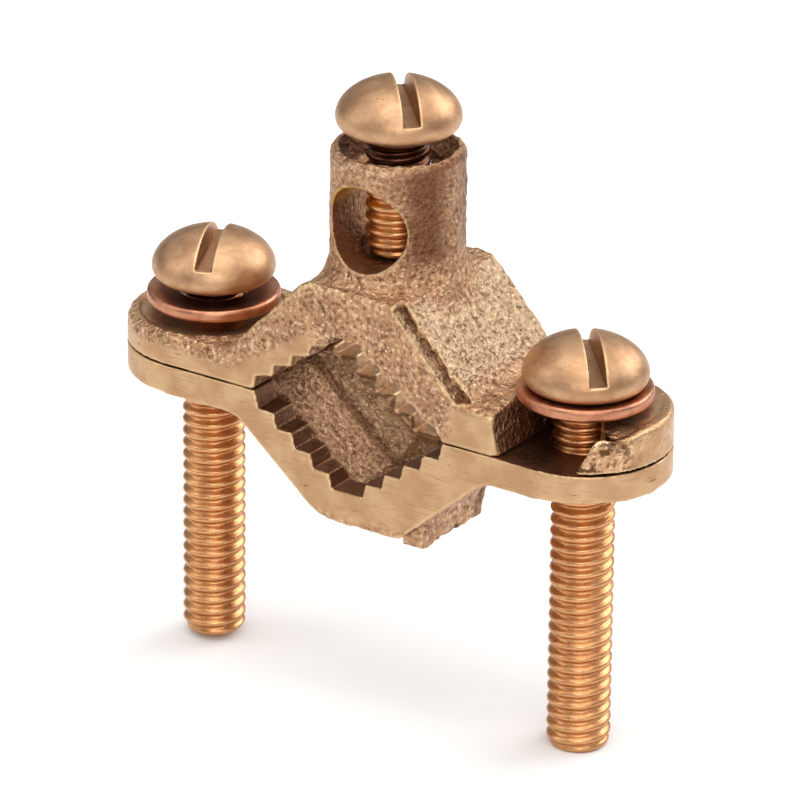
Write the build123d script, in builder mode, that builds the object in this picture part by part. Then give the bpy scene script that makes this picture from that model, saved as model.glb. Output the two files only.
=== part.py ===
"""Ground clamp: two toothed bronze jaws drawn together round a pipe by two slotted screws.

Frame: the origin is the middle of the pipe opening, on the line where the jaws meet.
+X runs from the closed ear to the hooked ear, +Y lies along the pipe, +Z rises to the boss.
"""
import os
from math import atan2, cos, radians, sin

from build123d import *

os.makedirs("parts", exist_ok=True)

# Driving dimensions, in millimetres
screw_spacing = 43.2
half_width = 8.5
parting_gap = 0.2
position_slack = 0.01

thread_radius = 3.15
thread_pitch = 1.27
thread_depth = 0.68
running_clearance = 0.05
clearance_hole_radius = 3.4

tooth_run = 2.17
tooth_rise = 1.57
tooth_count = 5

# Each toothed arm: half width of its middle flat, height of its first root, lean and height of a riser
left_teeth = (2.05, 7.75, 0.2, 1.15)
right_teeth = (1.2, 7.6, 0.88, 1.2)
lower_flat_half, lower_first_root = 1.75, 8.15
lower_riser_lean, lower_riser = 0.35, 1.5

rib_width = 4.1
back_rib_lift = 0.8
recess_reach = 12.8
recess_crown = 9.4
recess_floor = -9.6
recess_flat = 2.1
tooth_mouth = 0.1
mouth_top = 1.0

head_radius = 6.1
head_rim_height = 1.2
head_dome_height = 3.75
head_dome_angle = 48
head_foot = 0.5
head_rim_bulge = 0.14
slot_width = 1.6
slot_depth = 2.3

washer_radius = 6.6
washer_thickness = 1.25
washer_edge = 0.35
washer_rise = 0.03
left_washer_bottom = 4.12

boss_radius = 6.7
boss_top = 25.5
boss_edge = 0.7
boss_root = 4.0
dish_radius = 5.8
dish_angle = 130
wire_hole_radius = 4.3
wire_hole_height = 18.5

ear_top = 3.3
hook_top = 3.9
block_top = 4.45
block_start = 13.3
block_end = 17.35
block_lean = 0.8
hook_root = 12.0
slot_end = 25.1
spot_face_radius = 7.2
spot_face_depth = 0.2
foot_fillet = 2.0
ridge_fillet = 0.9
ridge_top = 12.8
ridge_left = -5.2
ridge_right = 5.7

# Thin front lip of the right slope, lower than the pad beside it
lip_width = 1.3
lip_drop = 0.85
lip_start = 0.15
lip_length = 10.2

lower_ear_bottom = -3.2
lower_flat = -11.7
flat_left = -3.2
flat_right = 5.9
left_foot = -13.2
right_foot = 15.7
keel_fillet = 2.0
heel_fillet = 0.8
rim_fillet = 0.7
tapped_depth = 4.0

# Lug under the right slope of the lower jaw
lug_left, lug_right = 5.2, 8.3
lug_bottom, lug_top = -12.9, -8.6
lug_draft = 0.2
lug_heel = 7.7
lug_front, lug_back = -7.0, 4.0
lug_overlap = 1.0

# Heights where each screw head bears, and how long its shank is
left_head_seat = 6.5
right_head_seat = 5.85
wire_head_seat = 27.1
long_shank = 38.0
short_shank = 12.6
neck_length = 0.8
thread_start = 1.2
tip_height = 1.0
tip_chamfer = 0.55
tip_clearance = 0.2

# Which way each screw slot points, in degrees about +Z
left_slot_angle = -67
right_slot_angle = -49
wire_slot_angle = -48

# Worked out from the driving dimensions
ear_x = screw_spacing / 2
ear_foot_x = ridge_left - (ridge_top - ear_top)
tapped_radius = thread_radius + running_clearance
recess_half = half_width - rib_width
upper_face = parting_gap / 2
lower_face = -parting_gap / 2
pocket_floor = wire_head_seat - short_shank - tip_clearance
slot_radius = (slot_end - block_end) / 2
slot_middle = (slot_end + block_end) / 2


def tooth_line(flat_half, first_root, riser_lean, riser_height, side):
    """Points of one toothed arm, from the middle of the opening out to the parting line.

    side is +1 for the jaw above the parting line and -1 for the jaw below it.
    """
    points = []
    for step in range(tooth_count):
        root_x = flat_half + step * tooth_run
        root_z = side * (first_root - step * tooth_rise)
        points.append((root_x, root_z))
        points.append((root_x + riser_lean, root_z - side * riser_height))
    return points


def mirrored(points):
    """The same arm on the other side of the opening, listed outside to inside."""
    return [(-x, z) for x, z in reversed(points)]


def thread_points(start, end):
    """Half profile of a 60 degree thread running down from start to end."""
    crest, flank, root = thread_pitch / 8, thread_pitch * 5 / 16, thread_pitch / 4
    points = []
    for turn in range(int((start - end) / thread_pitch), 0, -1):
        top = end + turn * thread_pitch
        points.append((thread_radius, top))
        points.append((thread_radius, top - crest))
        points.append((thread_radius - thread_depth, top - crest - flank))
        points.append((thread_radius - thread_depth, top - crest - flank - root))
    return points


def round_head_screw(place_x, seat, shank, slot_angle):
    """A slotted round-head screw on the upright line at place_x, its head bearing at height seat."""
    side_view = Plane(origin=(place_x, 0, seat), x_dir=(1, 0, 0), z_dir=(0, -1, 0))
    middle = Axis((place_x, 0, seat), (0, 0, 1))
    crown = head_rim_height + head_dome_height
    core = thread_radius - thread_depth
    bulge = radians(head_dome_angle)
    with BuildPart() as screw:
        with BuildSketch(side_view):
            with BuildLine():
                under = (head_radius - head_foot, 0)
                rim = (head_radius, head_rim_height)
                shoulder = (head_radius * cos(bulge), head_rim_height + head_dome_height * sin(bulge))
                ThreePointArc(under, (head_radius - head_rim_bulge, head_rim_height / 2), rim)
                ThreePointArc(rim, shoulder, (0, crown))
                shank_line = [(core, 0), (core, -neck_length)]
                shank_line += thread_points(-thread_start, tip_height - shank)
                shank_line += [(thread_radius, tip_height - shank), (thread_radius - tip_chamfer, -shank)]
                shank_line += [(0, -shank)]
                Polyline(under, *shank_line, (0, crown))
            make_face()
        revolve(axis=middle)
        slot_direction = (cos(radians(slot_angle)), sin(radians(slot_angle)), 0)
        crown_plane = Plane(origin=(place_x, 0, seat + crown), x_dir=slot_direction, z_dir=(0, 0, 1))
        with BuildSketch(crown_plane):
            Rectangle(head_radius * 3, slot_width)
        extrude(amount=-slot_depth, mode=Mode.SUBTRACT)
    return screw.part


def flat_washer(place_x, bottom):
    """A plain washer round the upright line at place_x, with softly rounded outer edges."""
    with BuildPart() as washer:
        with BuildSketch(Plane(origin=(place_x, 0, bottom))):
            Circle(washer_radius)
            Circle(clearance_hole_radius, mode=Mode.SUBTRACT)
        extrude(amount=washer_thickness)
        outer_edges = washer.edges().filter_by(GeomType.CIRCLE).group_by(SortBy.RADIUS)[-1]
        fillet(outer_edges, radius=washer_edge)
    return washer.part


# Upper jaw: closed ear, toothed vee, conductor boss and open hook, in one casting
left_arm = tooth_line(*left_teeth, 1)
right_arm = tooth_line(*right_teeth, 1)
with BuildPart() as upper_jaw:
    with BuildSketch(Plane.XZ):
        with BuildLine():
            inside = mirrored(left_arm) + right_arm
            outside = [
                (block_end, upper_face), (block_end - block_lean, block_top), (block_start, block_top),
                (ridge_right, ridge_top), (ridge_left, ridge_top),
                (ear_foot_x, ear_top), (-ear_x, ear_top),
            ]
            left_edge = (-ear_x, upper_face)
            left_corner = (-left_arm[-1][0] - tooth_mouth, upper_face)
            right_corner = (right_arm[-1][0] + tooth_mouth, upper_face)
            Polyline(left_edge, left_corner, *inside, right_corner, *outside, close=True)
        make_face()
    extrude(amount=half_width, both=True)
    corners = upper_jaw.edges().filter_by(Axis.Y)
    ear_foot = corners.filter_by_position(Axis.X, ear_foot_x - position_slack, ear_foot_x + position_slack)
    pad_foot = corners.filter_by_position(Axis.X, block_start - position_slack, block_start + position_slack)
    fillet([*ear_foot, *pad_foot], radius=foot_fillet)
    fillet(upper_jaw.edges().filter_by(Axis.Y).group_by(Axis.Z)[-1], radius=ridge_fillet)

    # The two ears, the right one left solid until its slot is cut
    with BuildSketch(Plane.XY.offset(upper_face)):
        with Locations((-ear_x, 0)):
            Circle(half_width)
    extrude(amount=ear_top - upper_face)
    with BuildSketch(Plane.XY.offset(upper_face)):
        with Locations((ear_x, 0)):
            Circle(half_width)
        with Locations(((ear_x + hook_root) / 2, 0)):
            Rectangle(ear_x - hook_root, 2 * half_width)
    extrude(amount=hook_top - upper_face)

    # Rough middle of the vee, sunk between the two toothed ribs
    with BuildSketch(Plane.XZ):
        with BuildLine():
            Polyline((-recess_reach, 0), (-recess_flat, recess_crown), (recess_flat, recess_crown),
                     (recess_reach, 0), close=True)
        make_face()
    extrude(amount=recess_half, both=True, mode=Mode.SUBTRACT)

    # Boss with the hole for the conductor across it
    with BuildSketch(Plane.XY.offset(ridge_top - boss_root)):
        Circle(boss_radius)
    extrude(amount=boss_top - ridge_top + boss_root)
    fillet(upper_jaw.edges(Select.LAST).group_by(Axis.Z)[-1], radius=boss_edge)
    with BuildSketch(Plane.XZ.offset(-half_width)):
        with Locations((0, wire_hole_height)):
            Circle(wire_hole_radius)
    extrude(amount=2 * half_width, mode=Mode.SUBTRACT)
    with Locations((0, 0, boss_top)):
        CounterSinkHole(tapped_radius, dish_radius, depth=boss_top - pocket_floor,
                        counter_sink_angle=dish_angle)

    # Thin front lip of the right slope, sunk below the rough pad
    slope_angle = atan2(ridge_top - block_top, block_start - ridge_right)
    slope_plane = Plane(origin=(ridge_right, -half_width, ridge_top),
                        x_dir=(cos(slope_angle), 0, -sin(slope_angle)),
                        z_dir=(sin(slope_angle), 0, cos(slope_angle)))
    with BuildSketch(slope_plane):
        with Locations((lip_start, 0)):
            Rectangle(lip_length, lip_width, align=(Align.MIN, Align.MIN))
    extrude(amount=-lip_drop, mode=Mode.SUBTRACT)

    # Seats for the washers, hole in the closed ear and open slot in the hook
    with BuildSketch(Plane.XY.offset(hook_top)):
        with Locations((ear_x, 0)):
            Circle(spot_face_radius)
    extrude(amount=block_top, mode=Mode.SUBTRACT)
    with BuildSketch(Plane.XY.offset(ear_top - spot_face_depth)):
        with Locations((-ear_x, 0)):
            Circle(spot_face_radius)
    extrude(amount=block_top, mode=Mode.SUBTRACT)
    with Locations((-ear_x, 0, ear_top)):
        Hole(clearance_hole_radius, depth=ear_top)
    with BuildSketch(Plane.XY.offset(upper_face)):
        with Locations((slot_middle, 0)):
            Circle(slot_radius)
        with Locations((slot_middle, -half_width)):
            Rectangle(2 * slot_radius, 2 * half_width)
    extrude(amount=hook_top, mode=Mode.SUBTRACT)
upper_jaw.part.label = "upper_jaw"
export_step(upper_jaw.part, "parts/upper_jaw.step")

# Lower jaw: two tapped ears, toothed vee and the short lug under its right slope
with BuildPart() as lower_jaw:
    with BuildSketch(Plane.XZ):
        with BuildLine():
            Polyline((ear_x, lower_face), (ear_x, lower_ear_bottom), (right_foot, lower_ear_bottom),
                     (flat_right, lower_flat), (flat_left, lower_flat), (left_foot, lower_ear_bottom),
                     (-ear_x, lower_ear_bottom), (-ear_x, lower_face), close=True)
        make_face()
    extrude(amount=half_width, both=True)
    fillet(lower_jaw.edges().filter_by(Axis.Y).group_by(Axis.Z)[0].sort_by(Axis.X)[0], radius=keel_fillet)
    fillet(lower_jaw.edges().filter_by(Axis.Y).group_by(Axis.Z)[0].sort_by(Axis.X)[-1], radius=heel_fillet)

    with BuildSketch(Plane.XY.offset(lower_ear_bottom)):
        with Locations((-ear_x, 0), (ear_x, 0)):
            Circle(half_width)
    extrude(amount=lower_face - lower_ear_bottom)
    round_edges = lower_jaw.edges().filter_by(GeomType.CIRCLE)
    ear_rims = round_edges.filter_by(lambda edge: edge.radius > washer_radius)
    fillet(ear_rims.group_by(Axis.Z)[0], radius=rim_fillet)

    # Toothed opening, its back half standing higher than its front half; both run out past the parting line
    for lift, length in ((0, half_width), (back_rib_lift, -half_width)):
        lower_arm = tooth_line(lower_flat_half, lower_first_root - lift, lower_riser_lean, lower_riser, -1)
        mouth = lower_arm[-1][0] + tooth_mouth
        with BuildSketch(Plane.XZ):
            with BuildLine():
                Polyline((-mouth, mouth_top), *mirrored(lower_arm), *lower_arm,
                         (mouth, mouth_top), close=True)
            make_face()
        extrude(amount=length, mode=Mode.SUBTRACT)
    with BuildSketch(Plane.XZ):
        with BuildLine():
            Polyline((-recess_reach, 0), (-recess_flat, recess_floor), (recess_flat, recess_floor),
                     (recess_reach, 0), close=True)
        make_face()
    extrude(amount=recess_half, both=True, mode=Mode.SUBTRACT)

    # Lug that keeps the casting from turning while its screws are driven
    with BuildSketch(Plane.XZ.offset(-lug_front)):
        with BuildLine():
            Polyline((lug_left, lower_flat + lug_overlap), (lug_left + lug_draft, lug_bottom),
                     (lug_heel, lug_bottom), (lug_right, lug_top), close=True)
        make_face()
    extrude(amount=lug_front - lug_back)

    with Locations((-ear_x, 0, lower_face), (ear_x, 0, lower_face)):
        Hole(tapped_radius, depth=tapped_depth)
lower_jaw.part.label = "lower_jaw"
export_step(lower_jaw.part, "parts/lower_jaw.step")

# Screws and washers
screws = {
    "left_screw": round_head_screw(-ear_x, left_head_seat, long_shank, left_slot_angle),
    "right_screw": round_head_screw(ear_x, right_head_seat, long_shank, right_slot_angle),
    "wire_screw": round_head_screw(0, wire_head_seat, short_shank, wire_slot_angle),
}
washers = {
    "left_washer": flat_washer(-ear_x, left_washer_bottom),
    "right_washer": flat_washer(ear_x, right_head_seat - washer_rise - washer_thickness),
}
for name, piece in {**screws, **washers}.items():
    piece.label = name
    export_step(piece, f"parts/{name}.step")
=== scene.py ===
"""Looks of the ground clamp: cast bronze jaws, rolled-thread screws and copper washers, on a pale floor.

Every shape is worked out in millimetres, as a signed distance that is negative inside the metal,
and turned into a mesh in metres in the row frame.
"""

import math

import bpy
import numpy as np
import openvdb as vdb
from mathutils import Matrix, Vector


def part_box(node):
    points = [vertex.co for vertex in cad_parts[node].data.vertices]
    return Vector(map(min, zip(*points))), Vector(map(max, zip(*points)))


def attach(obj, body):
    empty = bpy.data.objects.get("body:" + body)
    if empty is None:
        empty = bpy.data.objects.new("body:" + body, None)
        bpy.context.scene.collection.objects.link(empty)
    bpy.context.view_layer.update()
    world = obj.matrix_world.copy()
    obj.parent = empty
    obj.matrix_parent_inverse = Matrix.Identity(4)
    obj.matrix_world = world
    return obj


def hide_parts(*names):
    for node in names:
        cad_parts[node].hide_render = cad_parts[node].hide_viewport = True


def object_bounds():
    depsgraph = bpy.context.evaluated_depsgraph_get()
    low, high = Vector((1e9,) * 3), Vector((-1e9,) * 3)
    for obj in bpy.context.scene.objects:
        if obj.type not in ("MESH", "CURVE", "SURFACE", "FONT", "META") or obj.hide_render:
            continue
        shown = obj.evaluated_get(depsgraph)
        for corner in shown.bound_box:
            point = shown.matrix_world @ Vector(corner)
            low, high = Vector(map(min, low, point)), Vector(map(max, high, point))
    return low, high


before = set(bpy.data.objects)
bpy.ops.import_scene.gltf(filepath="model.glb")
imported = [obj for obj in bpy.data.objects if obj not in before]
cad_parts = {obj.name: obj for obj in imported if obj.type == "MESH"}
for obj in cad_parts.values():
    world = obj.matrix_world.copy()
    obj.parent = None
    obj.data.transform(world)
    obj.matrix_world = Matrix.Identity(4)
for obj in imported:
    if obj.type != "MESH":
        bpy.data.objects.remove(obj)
cad_low, cad_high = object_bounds()

MM = 0.001


def box_mm(node):
    """Lowest and highest corner of a CAD node, in millimetres."""
    low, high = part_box(node)
    return [c / MM for c in low], [c / MM for c in high]


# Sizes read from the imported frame, in millimetres
upper_low, upper_high = box_mm("upper_jaw")
lower_low, lower_high = box_mm("lower_jaw")
left_low, left_high = box_mm("left_screw")
right_low, right_high = box_mm("right_screw")
wire_low, wire_high = box_mm("wire_screw")
left_washer_low, left_washer_high = box_mm("left_washer")
right_washer_low, right_washer_high = box_mm("right_washer")

half_width = -upper_low[1]
ear_radius = half_width
left_x = (left_low[0] + left_high[0]) / 2
right_x = (right_low[0] + right_high[0]) / 2
boss_top = upper_high[2]
upper_face = upper_low[2]
lower_face = lower_high[2]
head_radius = (left_high[0] - left_low[0]) / 2
washer_radius = (left_washer_high[0] - left_washer_low[0]) / 2

# Screws and their holes, in millimetres
thread_radius, thread_depth, thread_pitch = 3.13, 0.5, 1.27
head_height, head_rim, head_rim_round = 4.95, 1.2, 1.0
slot_width = 1.65
tapped_radius, clearance_radius = 3.22, 3.4

# Upper jaw, in millimetres
boss_radius, dish_radius, dish_depth = 6.65, 5.75, 3.0
wire_hole_z, wire_hole_radius, pocket_floor = 18.5, 4.3, 14.3
threads_start, threads_full, threads_fading, threads_end = 19.4, 20.0, 22.9, 23.6
ear_top, hook_top, block_top = 3.25, 3.85, 4.45
ridge_top, ridge_left, ridge_right = 12.75, -5.2, 5.7
block_start, block_lean, hook_root = 13.3, 0.8, 12
slot_left, slot_right = 17.35, 25.1
spot_face_radius, spot_face_depth = 7.2, 0.2
lip_width, lip_drop, lip_start = 1.3, 0.85, 5.2
dip_x, dip_y, dip_z, dip_radius = 28.2, -4.6, 5.6, 2.0

# Lower jaw, in millimetres
ear_bottom, keel = -3.15, -11.65
keel_left, keel_right, left_foot, right_foot = -3.2, 5.9, -13.2, 15.7
lug_section = [(5.2, -10), (5.35, -12.85), (7.75, -12.85), (8.4, -8.4)]
lug_middle, lug_half = -1.5, 5.5
back_rib_lift = 0.95

# Toothed vees, and the rough recess between their ribs, in millimetres
tooth_run, tooth_rise, tooth_count = 2.17, 1.57, 5
recess_reach, recess_half = 12.8, 3.4
wall_lean, wall_height, wall_limit = 1.9, 1.6, 1.3
past_parting = 3

# Mesh spacing, and how far a vertex stands out where its edge value is full, in millimetres
upper_voxel, lower_voxel, screw_voxel, washer_voxel = 0.218, 0.2, 0.14, 0.12
casting_edge, screw_edge, washer_edge = 0.09, 0.06, 0.06


# ---------------------------------------------------------------- signed distances
# The field of a leaning or grooved wall is scaled by a factor under 1, to keep it near a true distance.
def polygon(points, u, v):
    """Signed distance from (u, v) to a closed polygon."""
    nearest = np.full(np.broadcast(u, v).shape, 1e6, np.float32)
    inside = np.zeros(nearest.shape, bool)
    for (au, av), (bu, bv) in zip(points, points[1:] + points[:1]):
        eu, ev = bu - au, bv - av
        along = np.clip(((u - au) * eu + (v - av) * ev) / (eu * eu + ev * ev), 0, 1)
        nearest = np.minimum(nearest, (u - au - eu * along) ** 2 + (v - av - ev * along) ** 2)
        if ev:
            inside ^= ((av > v) != (bv > v)) & (u < au + (v - av) * eu / ev)
    return np.where(inside, -1, 1) * np.sqrt(nearest)


def rounded(corners, steps=6):
    """Outline through (x, z, setback) corners, each turned into a curve that starts setback away from it."""
    outline = []
    for i, (x, z, setback) in enumerate(corners):
        corner = np.array((x, z))
        if not setback:
            outline.append((x, z))
            continue
        before = np.array(corners[i - 1][:2]) - corner
        after = np.array(corners[(i + 1) % len(corners)][:2]) - corner
        start = corner + before / np.linalg.norm(before) * setback
        end = corner + after / np.linalg.norm(after) * setback
        for k in range(steps + 1):
            t = k / steps
            outline.append(tuple((1 - t) ** 2 * start + 2 * t * (1 - t) * corner + t * t * end))
    return outline


def united(a, b, blend):
    """Both shapes together, with a fillet about blend wide where they meet."""
    h = np.maximum(blend - np.abs(a - b), 0) / blend
    return np.minimum(a, b) - h * h * blend / 4


def cut(a, b, blend):
    """Shape a with shape b taken away, its new edge rounded about blend wide."""
    return -united(-a, b, blend)


def crossed(a, b, edge):
    """Where both shapes are, the edge between them rounded to radius edge."""
    qa, qb = a + edge, b + edge
    return np.minimum(np.maximum(qa, qb), 0) + np.hypot(np.maximum(qa, 0), np.maximum(qb, 0)) - edge


def step(low, high, value):
    """0 below low, 1 above high, smooth between."""
    t = np.clip((value - low) / (high - low), 0, 1)
    return t * t * (3 - 2 * t)


def tooth_arm(flat_half, first_root, lean, riser, side):
    """Points of one toothed arm, from the middle of the opening outwards."""
    points = []
    for k in range(tooth_count):
        x, z = flat_half + k * tooth_run, side * (first_root - k * tooth_rise)
        points += [(x, z), (x + lean, z - side * riser)]
    return points


def opening_outline(left_arm, right_arm, side):
    """The whole toothed opening of one jaw, carried past the parting line."""
    past_tooth = 0.1
    left, right = -left_arm[-1][0] - past_tooth, right_arm[-1][0] + past_tooth
    far = -past_parting * side
    mirrored = [(-x, z) for x, z in reversed(left_arm)]
    return [(left, far), (left, 0)] + mirrored + right_arm + [(right, 0), (right, far)]


# ---------------------------------------------------------------- noise
class Noise:
    """Smooth repeatable noise between -1 and 1, with features about size millimetres across."""

    side = 64
    offset = 500  # keeps every cell number positive

    def __init__(self, seed, size):
        values = np.random.default_rng(seed).uniform(-1, 1, (self.side, self.side, self.side))
        self.table = values.astype(np.float32)
        self.size = size

    def __call__(self, x, y, z):
        cell, part = [], []
        for c in (x, y, z):
            scaled = np.asarray(c, np.float32) / self.size + self.offset
            whole = np.floor(scaled)
            f = scaled - whole
            cell.append(whole.astype(np.int64))
            part.append(f * f * (3 - 2 * f))
        total = 0
        for i in (0, 1):
            for j in (0, 1):
                for k in (0, 1):
                    weight = (part[0] if i else 1 - part[0]) * (part[1] if j else 1 - part[1])
                    weight = weight * (part[2] if k else 1 - part[2])
                    corner = tuple((c + shift) % self.side for c, shift in zip(cell, (i, j, k)))
                    total = total + weight * self.table[corner]
        return total


# ---------------------------------------------------------------- meshing
def slopes(field, p, h=0.02):
    """Unit gradient of a field at points p."""
    g = np.empty_like(p)
    for axis in range(3):
        shift = np.zeros(3)
        shift[axis] = h
        a, b = p + shift, p - shift
        g[:, axis] = field(a[:, 0], a[:, 1], a[:, 2]) - field(b[:, 0], b[:, 1], b[:, 2])
    length = np.linalg.norm(g, axis=1, keepdims=True)
    return g / np.maximum(length, 1e-9)


def skin(field, low, high, voxel, settle=2):
    """Points and quads of the surface where a field is zero."""
    low = np.array(low) - 3 * voxel
    counts = np.ceil((np.array(high) + 3 * voxel - low) / voxel).astype(int) + 1
    axes = [(low[i] + voxel * np.arange(counts[i])).astype(np.float32) for i in range(3)]
    x, y, z = axes[0][:, None, None], axes[1][None, :, None], axes[2][None, None, :]
    values = np.broadcast_to(field(x, y, z), counts)
    band = 3 * voxel
    grid = vdb.FloatGrid(float(band))
    grid.copyFromArray(np.ascontiguousarray(np.clip(values, -band, band), np.float32))
    points, quads = grid.convertToQuads(isovalue=0.0)
    points = np.asarray(points, float) * voxel + low
    for _ in range(settle):
        off = field(points[:, 0], points[:, 1], points[:, 2])
        points = points - np.clip(off, -voxel, voxel)[:, None] * slopes(field, points)
    quads = np.asarray(quads)
    a, b, c, d = (points[quads[:, i]] for i in range(4))
    if np.einsum("ij,ij->i", np.cross(c - a, d - b), a + b + c + d).sum() < 0:
        quads = quads[:, ::-1]
    return points, quads


def vertex_normals(points, quads):
    """Unit normal of each vertex, weighted by the area of the faces round it."""
    a, b, c, d = (points[quads[:, i]] for i in range(4))
    face = np.cross(c - a, d - b)
    normal = np.zeros_like(points)
    for i in range(4):
        for axis in range(3):
            normal[:, axis] += np.bincount(quads[:, i], face[:, axis], len(points))
    return normal / np.maximum(np.linalg.norm(normal, axis=1, keepdims=True), 1e-12)


def standing_out(points, quads, rounds=5, pull=0.6):
    """How far each vertex stands out of the surface round it: above 0 on edges, below 0 in corners."""
    edges = np.concatenate([quads[:, [0, 1]], quads[:, [1, 2]], quads[:, [2, 3]], quads[:, [3, 0]]])
    edges = np.unique(np.sort(edges, axis=1), axis=0)
    first, second = edges[:, 0], edges[:, 1]
    degree = np.bincount(first, minlength=len(points)) + np.bincount(second, minlength=len(points))
    smooth = points.copy()
    for _ in range(rounds):
        total = np.empty_like(smooth)
        for axis in range(3):
            total[:, axis] = np.bincount(first, smooth[second, axis], len(points))
            total[:, axis] += np.bincount(second, smooth[first, axis], len(points))
        smooth = (1 - pull) * smooth + pull * total / degree[:, None]
    return np.einsum("ij,ij->i", points - smooth, vertex_normals(points, quads))


def make_piece(name, points, quads, material, attributes):
    """A smooth shaded mesh object, in metres, with per-vertex values for its material."""
    mesh = bpy.data.meshes.new(name)
    mesh.vertices.add(len(points))
    mesh.vertices.foreach_set("co", (np.asarray(points, np.float32) * MM).ravel())
    mesh.loops.add(quads.size)
    mesh.loops.foreach_set("vertex_index", np.ascontiguousarray(quads, np.int32).ravel())
    mesh.polygons.add(len(quads))
    mesh.polygons.foreach_set("loop_start", np.arange(0, quads.size, 4, dtype=np.int32))
    mesh.update(calc_edges=True)
    mesh.validate()
    mesh.shade_smooth()
    for key, values in attributes.items():
        layer = mesh.attributes.new(key, "FLOAT", "POINT")
        layer.data.foreach_set("value", np.asarray(values, np.float32))
    mesh.materials.append(material)
    piece = bpy.data.objects.new(name, mesh)
    bpy.context.scene.collection.objects.link(piece)
    return piece


# ---------------------------------------------------------------- materials
class NodeKit:
    """A material with a Principled shader, and short methods that add nodes to it."""

    def __init__(self, name, metallic=1.0):
        self.material = bpy.data.materials.new(name)
        self.material.use_nodes = True
        self.nodes = self.material.node_tree.nodes
        self.links = self.material.node_tree.links
        self.shader = self.nodes["Principled BSDF"]
        self.shader.inputs["Metallic"].default_value = metallic
        self.place = self.nodes.new("ShaderNodeTexCoord").outputs["Object"]

    def plug(self, node, socket, value):
        """Link a socket to value, or set it where value is a plain number or colour."""
        if isinstance(value, bpy.types.NodeSocket):
            self.links.new(value, node.inputs[socket])
        else:
            node.inputs[socket].default_value = value

    def surface(self, socket, value):
        """Give the material's own shader a value."""
        self.plug(self.shader, socket, value)

    def scaled_place(self, scale):
        """Where each point is on the piece, multiplied by scale."""
        mapping = self.nodes.new("ShaderNodeMapping")
        mapping.inputs["Scale"].default_value = scale
        self.links.new(self.place, mapping.inputs["Vector"])
        return mapping.outputs["Vector"]

    def noise(self, size_mm, detail=3.0, rough=0.55, stretch=(1, 1, 1), distortion=0.0):
        """Noise with features size_mm across, drawn out along each axis by stretch."""
        place = self.scaled_place([1 / (MM * size_mm * s) for s in stretch])
        node = self.nodes.new("ShaderNodeTexNoise")
        node.inputs["Scale"].default_value = 1.0
        node.inputs["Detail"].default_value = detail
        node.inputs["Roughness"].default_value = rough
        node.inputs["Distortion"].default_value = distortion
        self.links.new(place, node.inputs["Vector"])
        return node.outputs["Fac"]

    def cells(self, size_mm):
        """Distance from the middle of the nearest of many grains, size_mm apart."""
        place = self.scaled_place([1 / (MM * size_mm)] * 3)
        node = self.nodes.new("ShaderNodeTexVoronoi")
        node.inputs["Scale"].default_value = 1.0
        self.links.new(place, node.inputs["Vector"])
        return node.outputs["Distance"]

    def attribute(self, key):
        """One of the values that the mesh holds for each vertex."""
        node = self.nodes.new("ShaderNodeAttribute")
        node.attribute_name = key
        return node.outputs["Fac"]

    def fit(self, value, low, high, to_low=0.0, to_high=1.0):
        """Value turned smoothly from the range low to high into the range to_low to to_high."""
        node = self.nodes.new("ShaderNodeMapRange")
        node.interpolation_type = "SMOOTHSTEP"
        self.plug(node, "Value", value)
        ends = {"From Min": low, "From Max": high, "To Min": to_low, "To Max": to_high}
        for socket, number in ends.items():
            self.plug(node, socket, number)
        return node.outputs["Result"]

    def calc(self, operation, a, b):
        """One arithmetic operation on two values."""
        node = self.nodes.new("ShaderNodeMath")
        node.operation = operation
        self.plug(node, 0, a)
        self.plug(node, 1, b)
        return node.outputs[0]

    def mix(self, factor, a, b):
        """Colour a where factor is 0, and colour b where it is 1."""
        node = self.nodes.new("ShaderNodeMix")
        node.data_type = "RGBA"
        self.plug(node, 0, factor)
        self.plug(node, 6, a)
        self.plug(node, 7, b)
        return node.outputs[2]

    def tint(self, base, value, low, high, amount, colour):
        """Base with colour laid over it, by up to amount, as value passes from low to high."""
        return self.mix(self.fit(value, low, high, 0.0, amount), base, colour)

    def bump(self, height, distance_mm, strength, normal=None):
        """Normals of relief up to distance_mm high, on top of those given."""
        node = self.nodes.new("ShaderNodeBump")
        node.inputs["Distance"].default_value = distance_mm * MM
        self.plug(node, "Strength", strength)
        self.plug(node, "Height", height)
        if normal:
            self.links.new(normal, node.inputs["Normal"])
        return node.outputs["Normal"]


def srgb(r, g, b):
    """Linear colour of an sRGB colour given from 0 to 255."""
    linear = [c / 255 / 12.92 if c < 11 else ((c / 255 + 0.055) / 1.055) ** 2.4 for c in (r, g, b)]
    return (*linear, 1.0)


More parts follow.
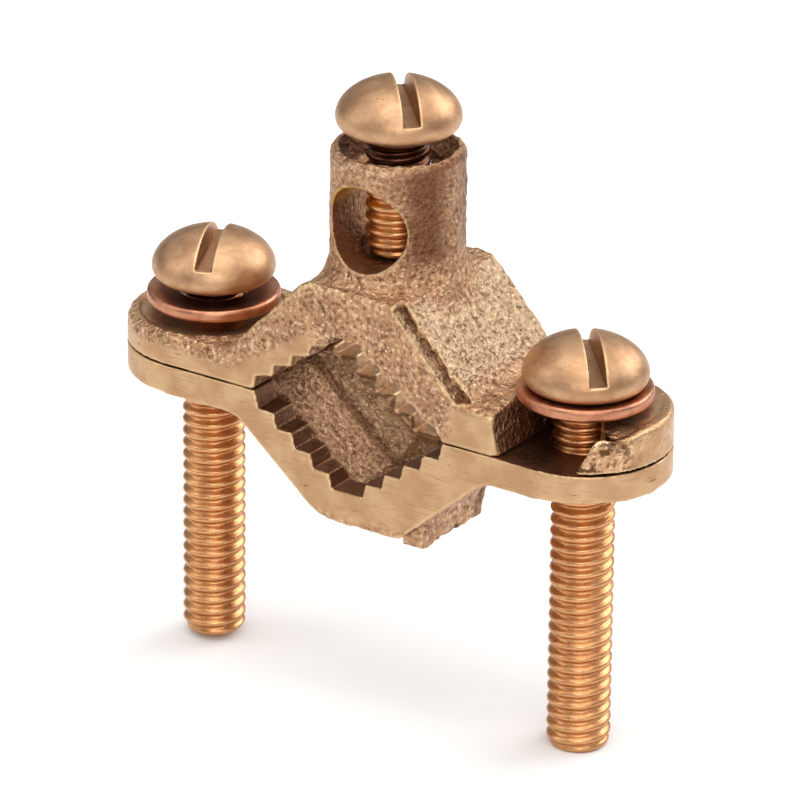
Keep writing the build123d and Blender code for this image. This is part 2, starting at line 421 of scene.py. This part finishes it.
def cast_material():
    """Sand-cast bronze: grain with painted glints, brown pits, gold high spots, and finer scratched ground
    faces, under painted shade, painted light and painted dark reflections.
    """
    kit = NodeKit("cast_bronze")
    ground, edge, fresh = kit.attribute("ground"), kit.attribute("edge"), kit.attribute("fresh")
    painted_shade, painted_light, gloss_and_painted_reflection = kit.attribute("painted_shade"), kit.attribute("painted_light"), kit.attribute("gloss_and_painted_reflection")
    grain = kit.noise(0.5, 2, 0.5)
    lumps = kit.cells(0.45)
    painted_glints = kit.cells(0.75)
    fine = kit.noise(0.17, 3, 0.6)
    clouds = kit.noise(3.2, 3, 0.55)
    pits = kit.noise(0.8, 5, 0.7)
    mottle = kit.noise(1.1, 2, 0.5)
    tool_marks = kit.noise(0.16, 4, 0.7, stretch=(16, 16, 1))
    nicks = kit.noise(0.3, 3, 0.6, stretch=(7, 7, 1), distortion=0.3)

    cast = kit.mix(kit.fit(clouds, 0.35, 0.65), srgb(178, 136, 104), srgb(200, 158, 122))
    # Painted light: lighter colour where the mesh marks faces the light falls on most.
    cast = kit.mix(painted_light, cast, srgb(194, 165, 134))
    cast = kit.tint(cast, lumps, 0.40, 0.80, 0.25, srgb(124, 84, 58))
    cast = kit.tint(cast, grain, 0.45, 0.34, 0.65, srgb(110, 74, 52))
    cast = kit.tint(cast, grain, 0.56, 0.66, 0.6, srgb(236, 202, 164))
    # Painted glints: near-white specks at the middles of small grains.
    cast = kit.tint(cast, painted_glints, 0.24, 0.08, 0.8, srgb(250, 222, 184))
    cast = kit.tint(cast, pits, 0.42, 0.35, 0.8, srgb(96, 64, 42))
    # Painted dark reflections: mottled dark patches on the glossy hook nose, whose lower roughness below is
    # real gloss.
    cast = kit.mix(kit.calc("MULTIPLY", gloss_and_painted_reflection, kit.fit(mottle, 0.56, 0.44)), cast, srgb(96, 66, 40))
    machined = kit.mix(kit.fit(clouds, 0.35, 0.65), srgb(184, 145, 108), srgb(202, 165, 126))
    machined = kit.tint(machined, tool_marks, 0.44, 0.32, 0.6, srgb(160, 118, 80))
    machined = kit.tint(machined, nicks, 0.35, 0.28, 0.85, srgb(126, 86, 54))
    colour = kit.mix(ground, cast, machined)
    # Lighter on edges that stand out, partly rubbed wear and partly painted highlight; darker in corners.
    colour = kit.tint(colour, edge, 0.2, 1.0, 0.45, srgb(244, 212, 162))
    colour = kit.tint(colour, edge, -0.15, -0.9, 0.75, srgb(100, 64, 42))
    # Painted shade: colour pulled towards dark brown where the mesh marks shade.
    colour = kit.mix(painted_shade, colour, srgb(116, 76, 54))
    kit.surface("Base Color", kit.mix(fresh, colour, srgb(222, 176, 84)))

    castness = kit.calc("SUBTRACT", 1.0, ground)
    rough_grain = kit.fit(grain, 0.35, 0.7, 0.50, 0.30)
    rough_cast = kit.calc("SUBTRACT", rough_grain, kit.calc("MULTIPLY", gloss_and_painted_reflection, 0.16))
    rough_ground = kit.fit(tool_marks, 0.3, 0.7, 0.46, 0.34)
    cast_share = kit.calc("MULTIPLY", rough_cast, castness)
    ground_share = kit.calc("MULTIPLY", rough_ground, ground)
    kit.surface("Roughness", kit.calc("ADD", cast_share, ground_share))

    coarseness = kit.calc("MULTIPLY", castness, kit.calc("SUBTRACT", 1.0, kit.calc("MULTIPLY", gloss_and_painted_reflection, 0.7)))
    normal = kit.bump(tool_marks, 0.06, kit.calc("MULTIPLY", ground, 0.9))
    normal = kit.bump(grain, 0.34, coarseness, normal)
    normal = kit.bump(kit.calc("SUBTRACT", 1.0, lumps), 0.09, coarseness, normal)
    kit.surface("Normal", kit.bump(fine, 0.10, coarseness, normal))
    return kit.material


def screw_material():
    """Rolled bronze: satin faintly clouded heads, brighter orange threads, and painted shade on the shank
    just under the head.
    """
    kit = NodeKit("screw_bronze")
    edge, head, painted_neck_shade = kit.attribute("edge"), kit.attribute("head"), kit.attribute("painted_neck_shade")
    clouds = kit.noise(2.4, 4, 0.6, distortion=0.6)
    smears = kit.noise(0.9, 4, 0.6, stretch=(1, 1, 0.4), distortion=0.8)
    rubs = kit.noise(0.22, 3, 0.65, stretch=(2.5, 2.5, 0.6))
    specks = kit.noise(0.45, 2, 0.5)
    top = kit.mix(kit.fit(clouds, 0.34, 0.66), srgb(176, 135, 100), srgb(198, 158, 122))
    shank = kit.mix(kit.fit(clouds, 0.34, 0.66), srgb(198, 140, 94), srgb(212, 158, 108))
    colour = kit.mix(head, shank, top)
    colour = kit.tint(colour, smears, 0.60, 0.72, 0.35, srgb(150, 104, 72))
    colour = kit.tint(colour, specks, 0.30, 0.24, 0.6, srgb(112, 72, 48))
    # Darker in corners and thread roots; lighter on edges that stand out, partly rubbed wear and partly
    # painted highlight.
    colour = kit.tint(colour, edge, -0.1, -0.8, 0.7, srgb(140, 86, 54))
    colour = kit.tint(colour, edge, 0.15, 0.8, 0.6, srgb(236, 196, 150))
    # Painted shade: near-black brown on the shank just under the head.
    kit.surface("Base Color", kit.mix(painted_neck_shade, colour, srgb(92, 58, 42)))
    gloss = kit.fit(rubs, 0.3, 0.7, 0.26, 0.36)
    kit.surface("Roughness", kit.calc("ADD", gloss, kit.calc("MULTIPLY", head, 0.12)))
    kit.surface("Normal", kit.bump(rubs, 0.03, 0.6, kit.bump(specks, 0.02, 0.4)))
    return kit.material


def washer_material():
    """Copper-red bronze washers: lighter round their rims, their edges partly rubbed bright and partly
    painted highlight, with painted shade on their clouded faces under the heads.
    """
    kit = NodeKit("washer_bronze")
    edge, rim_outside_painted_shade = kit.attribute("edge"), kit.attribute("rim_outside_painted_shade")
    clouds = kit.noise(1.8, 4, 0.6, distortion=0.5)
    rubs = kit.noise(0.25, 3, 0.65, stretch=(3, 3, 0.5))
    colour = kit.mix(kit.fit(clouds, 0.35, 0.66), srgb(172, 112, 84), srgb(196, 138, 108))
    colour = kit.tint(colour, rubs, 0.36, 0.28, 0.5, srgb(120, 70, 50))
    # Painted shade on the faces inside the rim, under the screw head.
    colour = kit.mix(rim_outside_painted_shade, srgb(142, 88, 66), colour)
    # Lighter on the rim's edges, partly rubbed wear and partly painted highlight.
    kit.surface("Base Color", kit.tint(colour, edge, 0.15, 0.8, 0.6, srgb(226, 176, 144)))
    kit.surface("Roughness", kit.fit(rubs, 0.3, 0.7, 0.28, 0.42))
    kit.surface("Normal", kit.bump(rubs, 0.03, 0.6))
    return kit.material


cast_bronze = cast_material()
screw_bronze = screw_material()
washer_bronze = washer_material()

# ---------------------------------------------------------------- castings
def recess_outline(flat_half, floor_level, side):
    """Outline of the rough hollow in one jaw, carried past the parting line."""
    far = -past_parting * side
    return [(-recess_reach, far), (-recess_reach, 0), (-flat_half, floor_level),
            (flat_half, floor_level), (recess_reach, 0), (recess_reach, far)]


upper_left_arm = tooth_arm(flat_half=2.05, first_root=7.75, lean=0.2, riser=1.15, side=1)
upper_right_arm = tooth_arm(flat_half=1.2, first_root=7.6, lean=0.88, riser=1.2, side=1)
lower_arm = tooth_arm(flat_half=1.75, first_root=8.15, lean=0.35, riser=1.5, side=-1)
upper_opening = opening_outline(upper_left_arm, upper_right_arm, 1)
lower_opening = opening_outline(lower_arm, lower_arm, -1)
upper_recess = recess_outline(2.2, 9.4, 1)
lower_recess = recess_outline(2, -9.6, -1)
upper_outline = rounded([
    (slot_left, -past_parting, 0), (slot_left, upper_face, 0), (slot_left - block_lean, block_top, 0.7),
    (block_start, block_top, 1.2), (ridge_right, ridge_top, 0.8), (ridge_left, ridge_top, 1.0),
    (ridge_left - (ridge_top - ear_top), ear_top, 1.2), (left_x, ear_top, 0), (left_x, -past_parting, 0)])
lower_outline = rounded([
    (right_x, lower_face + past_parting, 0), (right_x, ear_bottom, 0), (right_foot, ear_bottom, 1.0),
    (keel_right, keel, 0.8), (keel_left, keel, 2.0), (left_foot, ear_bottom, 1.2),
    (left_x, ear_bottom, 0), (left_x, lower_face + past_parting, 0)])
slope_angle = math.atan2(ridge_top - block_top, block_start - ridge_right)


def drafted_recess(outline, x, y, z):
    """The rough hollow between the two ribs, its side walls leaning outwards from the floor."""
    depth = polygon(outline, x, z)
    wall = np.abs(y) - recess_half - wall_lean * np.clip(-depth / wall_height, 0, wall_limit)
    return crossed(depth, wall * 0.75, 0.3)


def front_lip(x, y, z):
    """The strip sunk along the front edge of the right slope, its inner edge a little uneven."""
    depth = (x - ridge_right) * math.sin(slope_angle) + (z - ridge_top) * math.cos(slope_angle)
    weave = 0.12 * np.sin(x * 1.9) + 0.06 * np.sin(x * 5.3)
    strip = np.maximum(y + half_width - lip_width + weave, -lip_drop - depth)
    return np.maximum(strip, np.maximum(block_top - 0.1 - z, lip_start - x))


def upper_blank(x, y, z):
    """The upper jaw before its holes are cut: block, ear, hook and boss, ending at the parting face."""
    around_left = np.hypot(x - left_x, y)
    around_right = np.hypot(x - right_x, y)
    rounding = 0.5 + 0.6 * step(-12, -15, x) + 0.5 * step(11, 13, x)
    shape = crossed(polygon(upper_outline, x, z), np.abs(y) - half_width, rounding)
    left_ear = crossed(around_left - ear_radius, z - ear_top, 1.1)
    hook = crossed(np.maximum(around_right - ear_radius, hook_root - x), z - hook_top, 0.6)
    shape = united(united(shape, left_ear, 0.5), hook, 0.4)
    shape = cut(shape, front_lip(x, y, z), 0.2)
    boss = crossed(np.hypot(x, y) - boss_radius, z - boss_top, 1.1)
    return np.maximum(united(shape, boss, 2.0), upper_face - z)


def boss_bore(x, y, z):
    """The hole down the boss: a dished mouth, thread grooves, and a flat floor under the wire hole."""
    mouth = np.clip((z - boss_top + dish_depth) / dish_depth, 0, 1.2)
    radius = tapped_radius + (dish_radius - tapped_radius) * mouth ** 0.6
    turn = z / thread_pitch - np.arctan2(y, x) / (2 * math.pi)
    groove = 0.5 * step(0.3, 0.9, np.abs((turn - np.floor(turn)) * 2 - 1))
    radius = radius + groove * step(threads_start, threads_full, z) * step(threads_end, threads_fading, z)
    return np.maximum((np.hypot(x, y) - radius) * 0.8, pocket_floor - z)


def hook_slot(x, y, z):
    """The slot that opens the hook to the front. It widens upwards, most of all on the nose's side."""
    slot_radius = (slot_right - slot_left) / 2
    slot_x = (slot_right + slot_left) / 2
    nose = step(-2.5, -5.0, y) * np.maximum(z, 0) * 0.5
    lean = 0.18 * np.maximum(z, 0)
    flank = np.maximum(slot_left - lean - x, x - slot_right - nose)
    slot = np.minimum(np.hypot(x - slot_x, y) - slot_radius - 0.5 * lean, np.maximum(flank, y))
    return np.maximum(slot, -1 - z)


def upper_field(x, y, z):
    """The whole upper jaw: its blank with the opening, the bores, the washer seats and the slot cut in."""
    around_left = np.hypot(x - left_x, y)
    around_right = np.hypot(x - right_x, y)
    left_seat = np.maximum(around_left - spot_face_radius, ear_top - spot_face_depth - z)
    right_seat = np.maximum(around_right - spot_face_radius, hook_top - z)
    dip = np.sqrt((x - dip_x) ** 2 + ((y - dip_y) * 0.6) ** 2 + ((z - dip_z) * 0.9) ** 2) - dip_radius
    shape = cut(upper_blank(x, y, z), polygon(upper_opening, x, z), 0.12)
    shape = cut(shape, drafted_recess(upper_recess, x, y, z), 0.4)
    shape = cut(shape, np.hypot(x, z - wire_hole_z) - wire_hole_radius, 0.25)
    shape = cut(shape, boss_bore(x, y, z), 0.25)
    shape = cut(shape, left_seat, 0.5)
    shape = cut(shape, np.maximum(right_seat, slot_left + 0.3 - x), 0.2)
    shape = cut(shape, around_left - clearance_radius, 0.2)
    shape = cut(shape, hook_slot(x, y, z), 0.3)
    return cut(shape, dip, 1.0)


def lower_field(x, y, z):
    """The whole lower jaw: block, two tapped ears and lug, with the toothed opening cut in."""
    around_left = np.hypot(x - left_x, y)
    around_right = np.hypot(x - right_x, y)
    shape = crossed(polygon(lower_outline, x, z), np.abs(y) - half_width, 0.25)
    left_ear = crossed(around_left - ear_radius, ear_bottom - z, 0.5)
    right_ear = crossed(around_right - ear_radius, ear_bottom - z, 0.5)
    shape = united(united(shape, left_ear, 0.3), right_ear, 0.3)
    lug = crossed(polygon(lug_section, x, z), np.abs(y - lug_middle) - lug_half, 0.5)
    shape = united(shape, lug, 0.5)
    shape = np.maximum(shape, z - lower_face)
    shape = cut(shape, polygon(lower_opening, x, z - back_rib_lift * step(-1, 1, y)), 0.12)
    shape = cut(shape, drafted_recess(lower_recess, x, y, z), 0.4)
    shape = cut(shape, around_left - tapped_radius, 0.15)
    return cut(shape, around_right - tapped_radius, 0.15)


coarse, middling, gritty = Noise(3, 3.1), Noise(5, 1.15), Noise(7, 0.55)
opening_diamond = [(-12.9, 0), (-2.05, 7.9), (2.05, 7.9), (12.9, 0), (0, -9)]


def in_recess(opening, x, y, z):
    """1 in the rough hollow between a jaw's ribs, 0 away from it."""
    return step(5.4, 5.1, np.abs(y)) * step(0.6, 0.2, polygon(opening, x, z) - 1.9)


def upper_finish_and_painted_light(p, normal):
    """How ground, freshly cut and glossy (with painted dark reflections) each point of the upper jaw is, and
    how much painted shade and painted light it gets, from 0 to 1.
    """
    x, y, z = p.T
    front = step(-0.5, -0.8, normal[:, 1])
    facing_up = step(0.7, 0.95, normal[:, 2])
    wobble = coarse(x, y, z) * 0.5
    low_band = step(2.4 + wobble, 1.6 + wobble, z) * step(-11, -13, x)
    near_teeth = step(1.1, 0.4, polygon(opening_diamond, x, z) - 0.8 + wobble) * step(-3, -5, x)
    block = step(10.5, 12.5, x - wobble) * step(4.2, 3.6, z) * step(18.5, 17.5, x)
    ground = front * np.maximum(np.maximum(low_band, near_teeth), block)
    side = step(2.0 + wobble, 1.4 + wobble, z) * step(17, 18, np.abs(x))
    ring = step(7.6, 7.3, np.hypot(x - left_x, y)) * facing_up
    ring = np.maximum(ring, step(7.4, 7.1, np.hypot(x - right_x, y)) * facing_up * step(15, 16, x))
    hook = step(17.9, 18.4, x)
    ground = np.maximum(np.maximum(ground, side * 0.8), np.maximum(ring * 0.85, hook * 0.75))
    parting = step(0.25, 0.15, z)
    ground = np.maximum(ground, parting)

    # Painted shade: the boss a little darker all over, a painted dark reflection band on its side turned to
    # the right, and painted shadow on the block's end face under the washer.
    boss = step(14.5, 16.5, z)
    turned_right = normal[:, 0] * 0.55 - normal[:, 1] * 0.83 > 0
    shade = step(0.42, 0.82, normal[:, 0] + 0.12 * wobble) * step(1.04, 0.9, normal[:, 0])
    painted_shade = boss * (0.15 + 0.75 * shade * turned_right)
    block_end = step(16.2, 16.6, x) * step(18.4, 18.0, x) * step(0.5, 0.8, normal[:, 0])
    painted_shade = np.maximum(painted_shade, 0.6 * block_end)
    # Painted shade inside the wire hole and the bore; their walls also count as partly ground.
    inside = step(4.6, 4.35, np.hypot(x, z - wire_hole_z)) * step(13.5, 14, z)
    inside = np.maximum(inside, step(4.3, 4.0, np.hypot(x, y)) * step(13.5, 14, z) * step(23.5, 23, z))
    painted_shade = np.maximum(painted_shade * (1 - inside), 0.45 * inside)
    ground = np.maximum(ground, 0.6 * inside)
    # Painted shade in the rough hollow between the upper jaw's ribs.
    painted_shade = np.maximum(painted_shade, 0.5 * in_recess(upper_opening, x, y, z) * (z < 10))
    fresh = inside * step(19.6, 20.2, z) * step(22.9, 22.4, z) * step(0.6, 0, x)

    # Painted light on the right slope's pad, which faces up and to the right, with less of it at the boss's
    # foot.
    pad = step(0.45, 0.6, normal[:, 0]) * step(0.4, 0.55, normal[:, 2]) * step(5.0, 5.6, x) * (z < 12.7)
    boss_foot = step(8.6, 7.4, np.hypot(x, y))
    painted_light = pad * step(4.6, 6.2, z + 0.5 * wobble) * (1 - 0.6 * boss_foot)
    # The hook nose: glossy, and given painted dark reflections in the material.
    gloss_and_painted_reflection = step(22.9, 25.0, x) * step(-2.0, -5.0, y) * step(-0.1, 0.3, z) * (1 - parting)
    return ground * (1 - gloss_and_painted_reflection), painted_shade, fresh, painted_light, gloss_and_painted_reflection


def lower_finish_and_painted_light(p, normal):
    """The same five values for the lower jaw. None of it is freshly cut or shiny."""
    x, y, z = p.T
    front = step(-0.5, -0.8, normal[:, 1])
    back = step(0.5, 0.8, normal[:, 1])
    wobble = coarse(x, y, z) * 0.6
    patch = step(-10.2 + wobble, -10.9 + wobble, z)
    ground = np.maximum(front, back) * (1 - 0.6 * patch)
    sides = step(12.5, 14, np.abs(x)) * step(0.6, 0.3, np.abs(normal[:, 2]))
    parting = step(-0.25, -0.15, z)
    ground = np.maximum(np.maximum(ground, sides), parting * 0.9)

    # Painted shade in the rough hollow between the lower jaw's ribs.
    painted_shade = 0.2 * in_recess(lower_opening, x, y, z) * (z > -9.8)
    # Painted shadow on the top face under the hook slot and washer, which is also made partly ground there.
    under_slot = step(-0.4, -0.15, z) * step(16.5, 17.5, x) * step(0.5, 0.9, normal[:, 2])
    painted_shade = np.maximum(painted_shade, 0.8 * under_slot)
    ground = np.where(under_slot > 0.5, 0.7, ground)
    within = (np.abs(x) < 13) * (front < 0.5) * (back < 0.5)
    teeth = step(5.0, 5.5, np.abs(y)) * step(1.5, 1.1, polygon(lower_opening, x, z)) * within
    ground = np.maximum(ground, 0.7 * teeth)
    # Painted shade on the teeth, heavy on the front rib and light on the back rib.
    painted_shade = np.maximum(painted_shade, np.where(y > 0, 0.22, 0.72) * teeth)

    # Painted light on the back rib's inner wall and a little on the hollow's floor, and a painted shadow
    # along the foot of that wall.
    wall = step(3.0, 3.5, y) * step(5.6, 5.2, y) * step(0.25, 0.45, -normal[:, 1]) * (np.abs(x) < 13)
    foot = step(1.9, 2.5, y) * step(3.7, 3.3, y) * within
    painted_shade = np.maximum(painted_shade * (1 - wall), 0.7 * foot)
    hollow_floor = step(3.0, 2.4, y) * step(-3.6, -3.0, y) * within * step(0.5, 0.7, normal[:, 2])
    painted_light = np.maximum(0.5 * wall, 0.15 * hollow_floor)
    return ground, painted_shade, np.zeros(len(p)), painted_light, np.zeros(len(p))


def casting(name, node, body, field, low, high, finish_and_painted_light, voxel):
    """One jaw as a cast piece: its surface, its sand texture, and how ground, freshly cut and glossy each
    point is, with its painted light and shade.
    """
    points, quads = skin(field, low, high, voxel)
    normal = vertex_normals(points, quads)
    ground, painted_shade, fresh, painted_light, gloss_and_painted_reflection = finish_and_painted_light(points, normal)
    x, y, z = points.T
    rough = (1 - ground) * (1 - 0.8 * gloss_and_painted_reflection)
    relief = 0.04 * coarse(x, y, z) + rough * (0.08 * middling(x, y, z) + 0.09 * gritty(x, y, z))
    nose = step(23.5, 24.5, x) * step(-3.0, -4.5, y) * step(0.1, 0.6, z)
    relief = relief + nose * (0.2 * Noise(11, 1.6)(x, y, z) - 0.1)
    relief = np.minimum(relief - 0.08 * rough, 0.04)
    points = points + normal * relief[:, None]
    edge = np.clip(standing_out(points, quads) / casting_edge, -1, 1)
    piece = make_piece(name, points, quads, cast_bronze, {
        "ground": ground, "edge": edge, "painted_shade": painted_shade, "fresh": fresh, "painted_light": painted_light, "gloss_and_painted_reflection": gloss_and_painted_reflection})
    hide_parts(node)
    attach(piece, body)


casting("upper_jaw_casting", "upper_jaw", "upper_jaw", upper_field, upper_low, upper_high,
        upper_finish_and_painted_light, upper_voxel)
casting("lower_jaw_casting", "lower_jaw", "lower_jaw", lower_field, lower_low, lower_high,
        lower_finish_and_painted_light, lower_voxel)


# ---------------------------------------------------------------- screws and washers
def head_outline(rim_steps=8, dome_steps=24):
    """Half section of a round head, from the middle of its underside up to its crown."""
    inner = head_radius - head_rim_round
    outline = [(0, -1), (thread_radius, -1), (thread_radius, 0), (inner, 0)]
    for k in range(1, rim_steps + 1):
        t = math.radians(90 * k / rim_steps)
        outline.append((inner + head_rim_round * math.sin(t) ** 0.9, head_rim - head_rim * math.cos(t)))
    for k in range(1, dome_steps + 1):
        t = math.radians(90 * k / dome_steps)
        dome = (head_height - head_rim) * math.sin(t) ** 1.05
        outline.append((head_radius * math.cos(t) ** 1.05, head_rim + dome))
    return outline


def screw_field(place_x, tip, crown, slot_angle, lift, slot_shift, slot_depth):
    """Field of a right-handed slotted screw with its tip and crown at those heights."""
    seat = crown - head_height
    outline = head_outline()
    turn = math.radians(slot_angle)

    def field(x, y, z):
        x = x - place_x
        around = np.hypot(x, y)
        angle = np.arctan2(y, x) / (2 * math.pi)
        phase = (z - lift) / thread_pitch - angle
        groove = (0.5 + 0.5 * np.cos(2 * math.pi * phase)) ** 1.3 * thread_depth
        fade = step(0.0, 0.9, z - tip) * step(0.2, 1.0, seat - z)
        radius = thread_radius - groove * fade - 0.6 * thread_depth * step(1.0, 0.2, seat - z)
        radius = radius - np.maximum(0.7 - (z - tip), 0) * 0.75
        shank = crossed((around - radius) * 0.85, np.maximum(tip - z, z - seat - 1), 0.12)
        head = polygon(outline, around, z - seat)
        across = -x * math.sin(turn) + y * math.cos(turn) - slot_shift
        slot = np.maximum(np.abs(across) - slot_width / 2, crown - slot_depth - z)
        return cut(united(shank, head, 0.3), slot, 0.12)

    return field


def screw(name, node, body, low, high, slot_angle, lift, slot_shift, slot_depth, neck_shade):
    """One screw. Its helix is raised by lift, and its shank gets painted shade down to neck_shade below the
    head.
    """
    place_x = (low[0] + high[0]) / 2
    field = screw_field(place_x, low[2], high[2], slot_angle, lift, slot_shift, slot_depth)
    points, quads = skin(field, low, high, screw_voxel)
    below = high[2] - head_height - points[:, 2]
    outside = np.hypot(points[:, 0] - place_x, points[:, 1])
    head = step(0.1, -0.05, below)
    edge = np.clip(standing_out(points, quads) / screw_edge, -1, 1)
    edge = np.where(head > 0.5, edge, edge * 0.45)
    # Painted shade on the shank just under the head, within the head's reach.
    painted_neck_shade = step(-0.3, 0.1, below) * step(neck_shade, neck_shade * 0.6, below)
    painted_neck_shade = painted_neck_shade * step(head_radius - 0.6, thread_radius + 0.6, outside)
    piece = make_piece(name, points, quads, screw_bronze, {"edge": edge, "head": head, "painted_neck_shade": painted_neck_shade})
    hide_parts(node)
    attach(piece, body)


screw("left_screw_rolled", "left_screw", "left_screw", left_low, left_high,
      slot_angle=-67, lift=0.0, slot_shift=0.1, slot_depth=2.4, neck_shade=2.0)
screw("right_screw_rolled", "right_screw", "right_screw", right_low, right_high,
      slot_angle=-49, lift=0.5, slot_shift=0.3, slot_depth=3.0, neck_shade=0.6)
screw("wire_screw_rolled", "wire_screw", "wire_screw", wire_low, wire_high,
      slot_angle=-48, lift=0.2, slot_shift=0.45, slot_depth=2.9, neck_shade=5.0)


def washer(name, node, body, low, high):
    """One flat washer with rolled edges."""
    place_x, bottom, top = (low[0] + high[0]) / 2, low[2], high[2]
    middle, half = (bottom + top) / 2, (top - bottom) / 2

    def field(x, y, z):
        around = np.hypot(x - place_x, y)
        ring = np.maximum(around - washer_radius, clearance_radius - around)
        return crossed(ring, np.abs(z - middle) - half, 0.42)

    points, quads = skin(field, low, high, washer_voxel)
    # Inside the rim the faces take painted shade, and only the rim's edges are lightened.
    rim_outside_painted_shade = step(5.0, 6.0, np.hypot(points[:, 0] - place_x, points[:, 1]))
    edge = np.clip(standing_out(points, quads) / washer_edge, -1, 1) * rim_outside_painted_shade
    piece = make_piece(name, points, quads, washer_bronze, {"edge": edge, "rim_outside_painted_shade": rim_outside_painted_shade})
    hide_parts(node)
    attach(piece, body)


washer("left_washer_ring", "left_washer", "left_washer", left_washer_low, left_washer_high)
washer("right_washer_ring", "right_washer", "right_washer", right_washer_low, right_washer_high)


# ---------------------------------------------------------------- floor, light and camera
scene = bpy.context.scene
scene.view_settings.view_transform = "Standard"
floor_z = cad_low[2]


def plain_material(name, colour, roughness):
    """A matt studio surface with a barely visible mottle."""
    kit = NodeKit(name, metallic=0.0)
    mottle = kit.fit(kit.noise(60.0, 2), 0.3, 0.7)
    darker = [c * 0.985 for c in colour[:3]] + [1]
    kit.surface("Base Color", kit.mix(mottle, colour, darker))
    kit.surface("Roughness", roughness)
    return kit.material


floor_mesh = bpy.data.meshes.new("studio_floor")
reach = 6.0
corners = [(x * reach, y * reach, floor_z) for x, y in ((-1, -1), (1, -1), (1, 1), (-1, 1))]
floor_mesh.from_pydata(corners, [], [(0, 1, 2, 3)])
floor_mesh.materials.append(plain_material("pale_floor", (0.9, 0.9, 0.9, 1), 0.8))
floor = bpy.data.objects.new("studio_floor", floor_mesh)
scene.collection.objects.link(floor)

world = bpy.data.worlds.new("studio_world")
scene.world = world
world.use_nodes = True
backdrop = world.node_tree.nodes["Background"]
backdrop.inputs["Color"].default_value = (1.0, 0.99, 0.98, 1)
aim = world.node_tree.nodes.new("ShaderNodeTexCoord")
height = world.node_tree.nodes.new("ShaderNodeSeparateXYZ")
glow = world.node_tree.nodes.new("ShaderNodeMapRange")
glow.interpolation_type = "SMOOTHSTEP"
for socket, number in (("From Min", 0.1), ("From Max", 0.85), ("To Min", 0.22), ("To Max", 0.85)):
    glow.inputs[socket].default_value = number
world.node_tree.links.new(aim.outputs["Generated"], height.inputs[0])
world.node_tree.links.new(height.outputs["Z"], glow.inputs["Value"])
world.node_tree.links.new(glow.outputs["Result"], backdrop.inputs["Strength"])


def softbox(name, place, size, power):
    """A rectangular area light aimed at the origin, between the jaws."""
    light = bpy.data.lights.new(name, "AREA")
    light.shape = "RECTANGLE"
    light.size, light.size_y = size
    light.energy = power
    lamp = bpy.data.objects.new(name, light)
    lamp.location = place
    lamp.rotation_euler = (-Vector(place)).to_track_quat("-Z", "Y").to_euler()
    scene.collection.objects.link(lamp)


softbox("top_softbox", (0.05, -0.05, 0.80), (0.75, 0.75), 3.6)
softbox("left_softbox", (-0.65, -0.50, 0.40), (0.60, 0.60), 1.5)
softbox("right_softbox", (0.70, -0.55, 0.50), (0.60, 0.60), 1.7)
softbox("front_softbox", (0.42, -0.82, 0.44), (0.45, 0.45), 2.0)
softbox("back_softbox", (0.35, 0.75, 0.50), (0.80, 0.50), 4.1)

# The camera's aim in degrees, and where it stands in metres, along its own three axes
azimuth, elevation, roll = (math.radians(a) for a in (33.556, 23.956, 0.565))
camera_back, camera_right, camera_up = 0.669565, 0.000362, -0.001263

back = Vector((
    math.sin(azimuth) * math.cos(elevation), -math.cos(azimuth) * math.cos(elevation), math.sin(elevation)))
right = Vector((math.cos(azimuth), math.sin(azimuth), 0))
up = back.cross(right)
tilted_right = right * math.cos(roll) + up * math.sin(roll)
tilted_up = -right * math.sin(roll) + up * math.cos(roll)
camera_data = bpy.data.cameras.new("camera")
camera_data.lens = 310.96
camera_data.sensor_width = 36
camera = bpy.data.objects.new("camera", camera_data)
axes = Matrix((tilted_right, tilted_up, back)).transposed().to_4x4()
spot = back * camera_back + tilted_right * camera_right + tilted_up * camera_up
camera.matrix_world = Matrix.Translation(spot) @ axes
scene.collection.objects.link(camera)
scene.camera = camera
